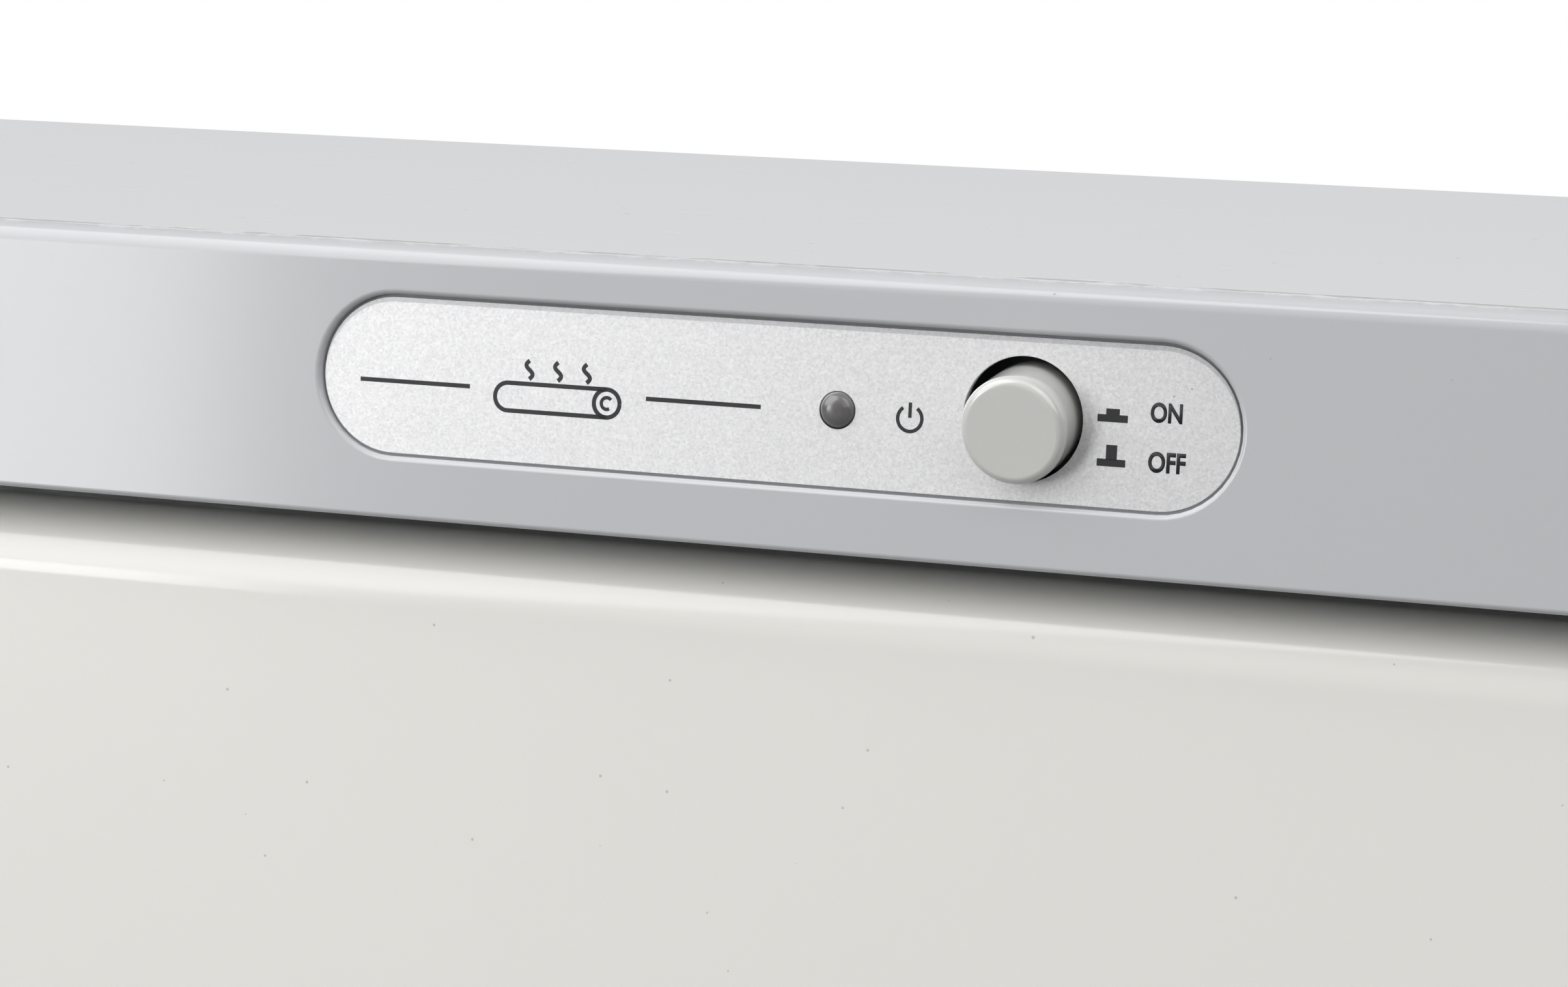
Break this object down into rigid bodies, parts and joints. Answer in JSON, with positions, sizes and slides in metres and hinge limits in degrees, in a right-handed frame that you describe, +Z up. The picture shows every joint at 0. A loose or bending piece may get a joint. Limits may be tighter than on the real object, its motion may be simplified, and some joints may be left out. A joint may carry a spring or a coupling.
{
  "type": "hot towel and compress warming cabinet",
  "caption": "Countertop cabinet that warms towels and compresses, with a drop-down door, a push switch and lamp in a leaning fascia, wire racks and a drip tray.",
  "frame": {"origin": "bottom centre of the whole cabinet, at the height of the table it stands on", "axes": "+X to the right seen from the front, +Y from the front to the back, +Z up"},
  "size_m": [0.4532, 0.2776, 0.265],
  "materials": {
    "case_enamel": "glossy light grey enamel on steel",
    "zinc_sheet": "zinc-plated sheet steel",
    "frame_moulding": "glossy light grey moulded ABS",
    "silver_plate": "matt silver with a fine sparkle",
    "smoked_lens": "smoky dark grey lens",
    "switch_case": "black thermoplastic",
    "switch_white": "white thermoplastic",
    "button_cap": "warm light grey moulded plastic",
    "spring_wire": "spring steel wire",
    "chamber_aluminium": "plain mill-finish aluminium sheet",
    "insulation_felt": "glass-fibre felt",
    "heater_foil": "foil-faced heating mat",
    "control_metal": "bright control parts",
    "silicone": "soft grey silicone",
    "black_sleeve": "black insulating sleeve",
    "black_plastic": "black nylon",
    "rack_chrome": "bright chrome-plated wire",
    "door_moulding": "glossy off-white moulded ABS",
    "door_foam": "closed-cell foam board",
    "door_lining": "off-white plastic lining",
    "pin_steel": "plain steel",
    "foot_rubber": "black rubber",
    "screw_steel": "zinc-plated steel screws"
  },
  "bodies": {
    "cabinet": {"base_pan": "zinc_sheet", "case_screws": "screw_steel", "casing_wrap": "case_enamel", "catch_magnet": "black_plastic", "chamber_screws": "screw_steel", "chamber_support": "zinc_sheet", "cord_gland": "black_plastic", "drain_tube": "silicone", "floor_heater": "heater_foil", "foot_front_left": "foot_rubber", "foot_front_right": "foot_rubber", "foot_rear_left": "foot_rubber", "foot_rear_right": "foot_rubber", "foot_screws": "screw_steel", "front_frame": "frame_moulding", "gland_nut": "black_plastic", "hinge_bracket_left": "zinc_sheet", "hinge_bracket_right": "zinc_sheet", "hinge_pin_left": "pin_steel", "hinge_pin_right": "pin_steel", "hinge_screws": "screw_steel", "insulation_jacket": "insulation_felt", "lamp_holder": "switch_case", "left_heater": "heater_foil", "lower_rack": "rack_chrome", "name_plate": "silver_plate", "power_lamp": "smoked_lens", "rack_rail_left": "chamber_aluminium", "rack_rail_right": "chamber_aluminium", "rear_panel": "case_enamel", "rear_screws": "screw_steel", "right_heater": "heater_foil", "switch_body": "switch_case", "switch_bracket": "zinc_sheet", "switch_screws": "screw_steel", "switch_spring": "spring_wire", "terminal_block": "switch_white", "thermal_fuse": "control_metal", "thermostat": "control_metal", "tray_guide_left": "zinc_sheet", "tray_guide_right": "zinc_sheet", "upper_rack": "rack_chrome", "warming_chamber": "chamber_aluminium", "wiring_loom": "black_sleeve"},
    "door": {"door_shell": "door_moulding", "door_insulation": "door_foam", "door_inner_panel": "door_lining", "door_gasket": "silicone", "catch_plate": "pin_steel", "door_screws": "screw_steel"},
    "button": {"power_button": "button_cap", "switch_plunger": "switch_white"},
    "tray": {"drip_tray": "frame_moulding"}
  },
  "joints": [
    {"name": "door_hinge", "type": "hinge", "parent": "cabinet", "child": "door", "pos_m": [0, -0.12319, 0.0443], "axis": [1, 0, 0], "range_deg": [0, 90]},
    {"name": "power_button_press", "type": "slide", "parent": "cabinet", "child": "button", "axis": [0, 1, 0], "range_m": [0, 0.0022], "stiffness_N_per_m": 1500, "deforming": ["switch_spring"]},
    {"name": "drip_tray_slide", "type": "slide", "parent": "cabinet", "child": "tray", "axis": [0, -1, 0], "range_m": [0, 0.12]}
  ]
}
